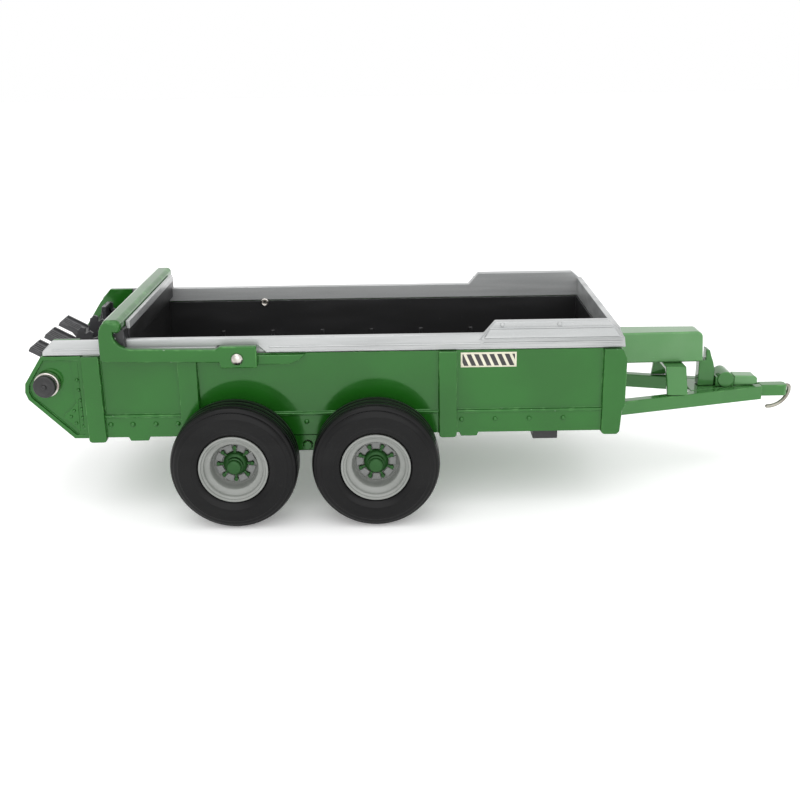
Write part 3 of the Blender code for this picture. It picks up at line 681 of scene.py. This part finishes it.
# %% [markdown]
# The gate is a hoop that swings up to let the load out: two flat arms with a rounded bar across
# them. Flat cast shapes are drawn from the side, the loop is filled, and the face is drawn out to
# its thickness. The bar is a box whose edges are rounded so far that its end is nearly a nose. The
# paint on a round bar shows one thin streak of light, where a flat bar would show a pale stripe.

# %% Gate hoop
def plate(name, outline, inner, outer):
    """A flat shape with sharp edges. The outline holds points along X and Z."""
    piece = drawn(name, [Vector((x, inner, z)) * MM for x, z in outline])
    bpy.ops.mesh.edge_face_add()
    thickness = (0, (outer - inner) * MM, 0)
    bpy.ops.mesh.extrude_region_move(TRANSFORM_OT_translate={"value": thickness})
    bpy.ops.mesh.select_all(action="SELECT")
    bpy.ops.mesh.normals_make_consistent(inside=False)
    bpy.ops.object.mode_set(mode="OBJECT")
    return piece


ARM_IN, ARM_OUT = 62.4, 66.0
BAR_HALF = ARM_OUT - 0.05
PANEL_HALF = 54.8
pivot_x, _, pivot_z = middle_of("gate_rivet_right")
boss_top = [(pivot_x + 9.8, pivot_z + 6.4), (pivot_x - 8.4, pivot_z + 6.4)]
boss_top += [(pivot_x - 10.5, pivot_z + 4.9)]
inner_bend = [(-148.0, 89.5), (-151.4, 90.1), (-154.2, 91.6), (-156.0, 93.8), (-156.7, 96.4)]
leg_top = [(-156.7, 102.4), (-158.6, 103.5), (-160.6, 103.2), (-162.3, 101.6), (-163.4, 99.0)]
outer_edge = [(-163.9, 95.6), (-164.0, 84.4), (-162.6, 82.9), (pivot_x - 9.0, 82.0)]
boss_foot = [(pivot_x - 8.4, pivot_z - 4.8)]
arm_outline = [(pivot_x + 9.8, pivot_z - 4.8)] + boss_top + inner_bend + leg_top
arm_outline += outer_edge + boss_foot
hoop = slab("gate_hoop", (-161.9, -BAR_HALF, 97.4), (-152.6, BAR_HALF, 104.2), 2.6, 5)
hoop_parts = [hoop]
for word, side in SIDES.items():
    arm = plate(f"gate_arm_{word}", arm_outline, side * ARM_IN, side * ARM_OUT)
    round_edges(arm, 0.7, 3, limit=20)
    hoop_parts.append(arm)
    low, high = sorted((side * PANEL_HALF, side * (ARM_IN + 0.3)))
    ear = slab(f"panel_ear_{word}", (-156.2, low, 88.4), (-151.6, high, 99.2), 0.7, 3)
    hand_over(ear, "gate", "black_plastic", BLACK)
join_up(hoop_parts)
hand_over(hoop, "gate", "green_paint", GREEN, "gate_frame")

# %% [markdown]
# The small turned parts are spun as the wheels were: the gate's domed rivets, each ending in a
# rolled eyelet inside the tub, the beater's black end caps with a centre pin, and the bright ring
# behind each cap.

# %% Rivets, caps and rings
rivet_head = [(0, 1.8), (0.8, 1.76), (1.6, 1.55), (2.3, 1.15), (2.8, 0.65), (3.05, 0.2)]
rivet_head += [(3.0, -0.05), (1.5, -0.1)]
eyelet = [(1.5, -11.1), (2.2, -11.15), (2.4, -11.4), (2.35, -11.75), (2.0, -12.0)]
eyelet += [(1.5, -11.95), (1.2, -11.6), (1.1, -10.6), (0, -10.5)]
cap_wall = [(0, 0.2), (5.2, 0.2), (5.6, 0.5), (5.7, 1.0), (5.7, 2.9), (5.5, 3.5), (5.0, 3.75)]
cap_face = [(4.3, 3.7), (3.9, 3.4), (2.2, 3.3), (1.9, 3.5), (1.4, 3.6)]
cap_pin = [(1.3, 4.1), (1.0, 4.5), (0.5, 4.6), (0, 4.6)]
ring_section = [(2.75, -3.4), (5.9, -3.4), (6.4, -3.1), (6.5, -2.7), (6.5, -0.6), (6.3, -0.15)]
ring_section += [(5.9, 0.0), (2.75, 0.0), (2.75, -3.4)]
RIVET_FACE, CAP_FACE, RING_FACE = ARM_OUT + 0.3, 62.2, 61.95

for word, side in SIDES.items():
    beater = middle_of(f"beater_bearing_{word}")
    gate = middle_of(f"gate_rivet_{word}")
    rivet_spot = (gate.x, side * RIVET_FACE, gate.z)
    cap_spot = (beater.x, side * CAP_FACE, beater.z)
    ring_spot = (beater.x, side * RING_FACE, beater.z)
    rivet = spun(f"rivet_dome_{word}", rivet_spot, side, rivet_head + eyelet, 40)
    cap = spun(f"beater_cap_{word}", cap_spot, side, cap_wall + cap_face + cap_pin, 48)
    ring = spun(f"beater_ring_{word}", ring_spot, side, ring_section, 48)
    for piece in (rivet, cap, ring):
        smooth(piece, 45)
    hand_over(rivet, "frame", "bright_steel", NICKEL, f"gate_rivet_{word}")
    hand_over(cap, "beater", "black_plastic", BLACK, f"beater_knob_{word}")
    hand_over(ring, "frame", "bright_steel", NICKEL, f"beater_bearing_{word}")

# %% [markdown]
# The silver rail is ribbed like rolled sheet. Each rib is a slim rounded bar sunk into the rail's
# outer face, and it stops where the gate's pivot pad interrupts the rail. A bump in the paint would
# draw the ribs too, but it would leave the rail's edge straight. Two small bolts on each side hold
# the raised front board.

# %% Rail ribs and board bolts
board_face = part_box("top_rail")[1].y / MM
rail_face = board_face - 1.0
PAD_REAR, PAD_FRONT = -107.2, -80.5
RIB_HEIGHT, FOOT_HEIGHT = 88.1, 85.7


def rib(name, start, stop, height, face, proud=0.45, tall=0.9):
    """A pair of ribs, one on each side, at a height."""
    for word, side in SIDES.items():
        inner, outer = sorted((side * (face - 0.4), side * (face + proud)))
        low, high = (start, inner, height - tall / 2), (stop, outer, height + tall / 2)
        hand_over(slab(f"{name}_{word}", low, high, 0.3), "frame", "silver_paint", SILVER)


rib("rib_rear", -189.5, PAD_REAR, RIB_HEIGHT, rail_face)
rib("rib_middle", PAD_FRONT, 25.5, RIB_HEIGHT, rail_face)
rib("rib_foot_rear", -192.5, PAD_REAR, FOOT_HEIGHT, rail_face, 0.35, 0.7)
rib("rib_foot_middle", PAD_FRONT, 97.2, FOOT_HEIGHT, rail_face, 0.35, 0.7)
rib("rib_board_low", 26.8, 96.4, 88.2, rail_face, 0.5, 1.0)
rib("rib_board_middle", 25.8, 96.0, 90.7, board_face)
rib("rib_board_top", 29.6, 90.6, 96.1, board_face)

BOARD_BOLT_HEIGHT = 97.9
board_bolt = [(0, 0.75), (0.6, 0.7), (1.05, 0.45), (1.25, 0.0), (1.25, -0.3), (0, -0.3)]
for word, side in SIDES.items():
    for spot, x in {"rear": 36.0, "front": 64.5}.items():
        place = (x, side * board_face, BOARD_BOLT_HEIGHT)
        bolt = spun(f"board_bolt_{spot}_{word}", place, side, board_bolt, 20)
        smooth(bolt, 60)
        hand_over(bolt, "frame", "silver_paint", SILVER)

# %% [markdown]
# The raised front board keeps a heaped load in. Below its bolted flange the sheet slopes outwards,
# so it catches more light than the flat rail does. It is a plate whose upper outer edge is pulled
# in, which keeps its ends flat, where a turned box would lift them off the board.

# %% Sloping board
SLOPE_PROUD = 1.6
slope_outline = [(27.2, 91.4), (29.9, 95.7), (91.9, 95.7), (94.8, 91.4)]
for word, side in SIDES.items():
    inner, outer = side * (board_face - 0.5), side * (board_face + SLOPE_PROUD)
    slope = plate(f"board_slope_{word}", slope_outline, inner, outer)
    pick_points(slope, lambda point: abs(point.y) > board_face + 0.5 and point.z > 93)
    bpy.ops.transform.translate(value=(0, -side * (SLOPE_PROUD - 0.25) * MM, 0))
    bpy.ops.object.mode_set(mode="OBJECT")
    round_edges(slope, 0.25)
    hand_over(slope, "frame", "silver_paint", SILVER)

# %% [markdown]
# Small domed bolts run along the sill, up the seam of the rear end plate and over its
# three-cornered patch. They are cast with the sides, and the measured solids have them as plain
# studs, which these round heads cover. Each row is one piece, since its bolts never part. Under
# the front panel a black catch of the tub shows below the sill.

# %% Bolts, patch and catches
SILL_FACE, SEAM_FACE, PATCH_FACE = 59.9, 59.1, 59.5
SILL_BOLT_HEIGHT = 48.2
sill_stations = (-163.6, -152.3, -140.5, -129.2, -63.3, 15.9, 33.1, 50.5, 67.9)
sill_places = [(x, SILL_BOLT_HEIGHT) for x in sill_stations]
seam_places = [(-178.6, 72.3), (-178.3, 66.9), (-178.0, 61.4)]
seam_places += [(-177.9, 56.7), (-177.8, 52.0), (-177.7, 47.3)]
patch_places = [(-181.6, 56.0), (-183.5, 52.8), (-181.2, 49.2)]
patch_outline = [(-179.7, 44.6), (-187.4, 52.5), (-179.3, 60.8)]


def dome(radius, height):
    """Half the section of a low round bolt head."""
    shares = [(0, 1), (0.5, 0.93), (0.8, 0.66), (0.96, 0.25)]
    top = [(across * radius, up * height) for across, up in shares]
    return top + [(radius, -0.3), (0, -0.3)]


def bolts(name, places, face, radius, height):
    """One piece holding a row of bolt heads on each side."""
    head = dome(radius, height)
    for word, side in SIDES.items():
        row = join_up([spun(name, (x, side * face, z), side, head, 16) for x, z in places])
        row.name = f"{name}_{word}"
        smooth(row, 60)
        hand_over(row, "frame", "green_paint", GREEN)


bolts("sill_bolts", sill_places, SILL_FACE, 1.35, 1.0)
bolts("seam_bolts", seam_places, SEAM_FACE, 1.0, 1.1)
bolts("patch_bolts", patch_places, PATCH_FACE, 0.9, 0.8)

CATCH_IN, CATCH_OUT, CATCH_FOOT = 45.0, 56.4, 35.6
for word, side in SIDES.items():
    patch = plate(f"corner_patch_{word}", patch_outline, side * (PATCH_FACE - 1), side * PATCH_FACE)
    round_edges(patch, 0.2)
    hand_over(patch, "frame", "green_paint", GREEN)
    low, high = (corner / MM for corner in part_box(f"tub_latch_{word}"))
    inner, outer = sorted((side * CATCH_IN, side * CATCH_OUT))
    catch = slab(f"tub_catch_{word}", (low.x, inner, CATCH_FOOT), (high.x, outer, high.z), 0.4)
    hand_over(catch, "frame", "black_plastic", BLACK, f"tub_latch_{word}")

# %% [markdown]
# The beater throws the load out with eight paddles, which stand in pairs at four places along its
# drum. They are ribbed along their length, with one taller ridge on an edge. One set of ribs is
# laid on a level blade, then each copy is leaned and moved to its own paddle, so no rib has to be
# modelled on a slope.

# %% Paddle ribs
BLADE_TOP = 8.1
BLADE_ENDS = -16.9, -4.0
PADDLE_LEAN = 29
LAST_PAIR_TURN = 60
PAIRS, PAIR_STEP, FIRST_PAIR = 4, 26, -39
rib_places = {-6.1: (0.9, 0.35), -3.6: (0.8, 0.35), -1.1: (0.8, 0.35)}
rib_places |= {1.4: (0.8, 0.35), 6.3: (1.3, 0.9)}
rib_set = []
for across, (wide, tall) in rib_places.items():
    low = (BLADE_ENDS[0], across - wide / 2, BLADE_TOP - 0.4)
    high = (BLADE_ENDS[1], across + wide / 2, BLADE_TOP + tall)
    rib_set.append(slab("paddle_rib", low, high, 0.15))
blade_ribs = join_up(rib_set)
beater = middle_of("beater_bearing_right")
for i in range(PAIRS):
    for half in (0, 180):
        turn = LAST_PAIR_TURN if i == PAIRS - 1 else 0
        lean = math.radians(PADDLE_LEAN + half + turn)
        pair_middle = Vector((beater.x, FIRST_PAIR + PAIR_STEP * i, beater.z)) * MM
        move = Matrix.Translation(pair_middle) @ Matrix.Rotation(lean, 4, "Y")
        ribs = copied(blade_ribs, f"paddle_ribs_{i}_{'a' if half else 'b'}", move)
        # The paddle ribs take the lighter copy of the black plastic: painted light.
        hand_over(ribs, "beater", "black_plastic", PADDLE_BLACK_LIT)
bpy.data.objects.remove(blade_ribs)

# %% [markdown]
# The hook is a piece of bent round wire that drops over a pin. A bevelled curve would give the same
# wire, but its tip would be cut off square. So a ring of vertices is spun along the bend, its far
# end is narrowed to a rounded tip, and its near end is spun back into the tongue's tip.

# %% Hitch hook
WIRE = 1.1
BEND_RADIUS = 11.6
bend_middle = Vector((193.43, 0, 43.4))
start = math.radians(-10)
top_of_bend = bend_middle + Vector((math.cos(start), 0, math.sin(start))) * BEND_RADIUS


def draw_out(move, shrink=1.0):
    """Extrudes the selected ring by a move in millimetres, and narrows it."""
    bpy.ops.mesh.extrude_region_move(TRANSFORM_OT_translate={"value": Vector(move) * MM})
    bpy.ops.transform.resize(value=(shrink, shrink, shrink))


let_go()
bpy.ops.mesh.primitive_circle_add(
    vertices=20, radius=WIRE * MM, location=top_of_bend * MM, rotation=(0, -start, 0)
)
hook = fresh("hook_wire")
settle(hook)
bpy.ops.object.mode_set(mode="EDIT")
bpy.ops.mesh.select_all(action="SELECT")
bpy.ops.mesh.spin(steps=16, angle=math.radians(-80), center=bend_middle * MM, axis=(0, 1, 0))
for length, shrink in ((0.5, 0.92), (0.35, 0.75), (0.15, 0.45)):
    draw_out((-length, 0, 0), shrink)
bpy.ops.mesh.edge_face_add()
pick_points(hook, lambda point: point.z > top_of_bend.z - 0.3)
draw_out((0, 0, 1.5))
back_middle = top_of_bend + Vector((-1.3, 0, 1.5))
bpy.ops.mesh.spin(steps=6, angle=math.radians(85), center=back_middle * MM, axis=(0, 1, 0))
draw_out((-1.6, 0, 0))
bpy.ops.mesh.edge_face_add()
bpy.ops.mesh.select_all(action="SELECT")
bpy.ops.mesh.remove_doubles(threshold=0.01 * MM)
bpy.ops.mesh.normals_make_consistent(inside=False)
bpy.ops.object.mode_set(mode="OBJECT")
smooth(hook, 50)
print("hook height, mm", round(hook.dimensions.z / MM, 1))
hand_over(hook, "frame", "hook_steel", WIRE_STEEL, "hitch_hook")

# %% [markdown]
# A plain printed label sits in the front panel's upper rear corner: cream, with a dark field of
# slanted bars and no words. Its field is inset in the label's face, and the bars are drawn by
# repeating a sloped coordinate inside that field, so no bar has to be cut out of the mesh.

# %% Label
BAR_SLANT = 0.45
BARS_PER_METRE = 260.0


def label_finish():
    """Cream card printed with dark bars."""
    finish = Finish("printed_label", Coat_Weight=0.3, Coat_Roughness=0.15)
    along = finish.node("ShaderNodeSeparateXYZ", None, {"Vector": finish.place}, out="X")
    rise = Wire(along.socket.node.outputs["Z"])
    bars = (along + rise * BAR_SLANT) * BARS_PER_METRE
    field = finish.node("ShaderNodeAttribute", {"attribute_name": "field"}, out="Fac")
    dark = bars.repeat().between(0.36, 0.42) * field
    cream = finish.blend(finish.noise(400, 3), opaque(0.62, 0.6, 0.46), opaque(0.74, 0.72, 0.58))
    finish.wear(Base_Color=finish.blend(dark, cream, opaque(0.02, 0.02, 0.019)))
    finish.wear(Roughness=0.42 - dark * 0.12)
    finish.bump(dark + finish.noise(900, 2) * 0.2, 0.03, 0.4)
    return finish.material


LABEL = label_finish()
SHEET_FACE = 59.0
for word, side in SIDES.items():
    inner, outer = sorted((side * (SHEET_FACE - 0.2), side * (SHEET_FACE + 0.18)))
    label = slab(f"label_{word}", (15.4, inner, 75.6), (43.6, outer, 83.4), 0.12)
    pick_faces(label, lambda middle, normal: normal.y * side > 0.9)
    bpy.ops.mesh.inset(thickness=0.9 * MM)
    bpy.ops.object.mode_set(mode="OBJECT")
    field = [float(face.select) for face in label.data.polygons]
    label.data.attributes.new("field", "FLOAT", "FACE").data.foreach_set("value", field)
    hand_over(label, "frame", "green_paint", LABEL)

# %% [markdown]
# The remaining plain nodes are turned steel: shafts and axles. They keep their shape and only take
# the plated finish.

# %% Paint the nodes that stay
for name, node in frame["nodes"].items():
    if not node.hide_render:
        node.data.materials.clear()
        node.data.materials.append(NICKEL)
        print("kept", name)

# %% [markdown]
# The toy stands on a plain pale floor in a white room, under two broad lights from far away. Lamps
# close by would leave a pool of light on the floor. The floor also glows a little, which is painted
# light: the glow fills and softens the shadow under the box. The camera looks across the side from
# a little above.

# %% Floor
FLOOR_GLOW = 0.17
let_go()
bpy.ops.mesh.primitive_plane_add(size=8.0, location=(0, 0, 0))
floor = fresh("studio_floor")
settle(floor)
# The floor's glow is painted light that fills the shadow under the box.
glow = {"Emission_Color": opaque(1, 1, 1), "Emission_Strength": FLOOR_GLOW}
paper = Finish("studio_paper", Roughness=0.7, **glow)
tint = paper.noise(6, 3)
paper.wear(Base_Color=paper.blend(tint, opaque(0.93, 0.93, 0.93), opaque(0.95, 0.95, 0.95)))
floor.data.materials.append(paper.material)

# %% Light
world = bpy.data.worlds.new("white_room")
bpy.context.scene.world = world
world.use_nodes = True
room = world.node_tree.nodes["Background"]
room.inputs["Color"].default_value = opaque(1.0, 1.0, 1.0)
room.inputs["Strength"].default_value = 1.0


def far_light(name, place, spread, strength):
    """A broad light from far away, which lights the whole floor evenly."""
    data = bpy.data.lights.new(name, "SUN")
    data.angle = math.radians(spread)
    data.energy = strength
    lamp = bpy.data.objects.new(name, data)
    bpy.context.scene.collection.objects.link(lamp)
    lamp.rotation_euler = Vector(place).to_track_quat("Z", "Y").to_euler()


far_light("overhead", (-0.15, -0.2, 1.0), 50, 0.55)
far_light("from_the_front", (0.1, -1.0, 0.5), 60, 0.8)
print("lights", [lamp.name for lamp in bpy.data.lights])

# %% Camera
LENS = 48.5
CAMERA_PLACE = Vector((-15.44, -579.56, 234.14)) * MM
DIP, LEAN = 0.325, 0.0156
camera_data = bpy.data.cameras.new("camera")
camera_data.sensor_width = 36.0
camera_data.lens = LENS
camera_data.clip_start = 0.01
camera = bpy.data.objects.new("camera", camera_data)
bpy.context.scene.collection.objects.link(camera)
ahead = Vector((0, math.cos(DIP), -math.sin(DIP)))
above = Vector((0, math.sin(DIP), math.cos(DIP)))
right = Vector((1, 0, 0))
lean_right = right * math.cos(LEAN) - above * math.sin(LEAN)
lean_up = right * math.sin(LEAN) + above * math.cos(LEAN)
turn = Matrix((lean_right, lean_up, -ahead)).transposed()
camera.matrix_world = Matrix.Translation(CAMERA_PLACE) @ turn.to_4x4()
bpy.context.scene.camera = camera
bpy.context.scene.view_settings.view_transform = "Standard"
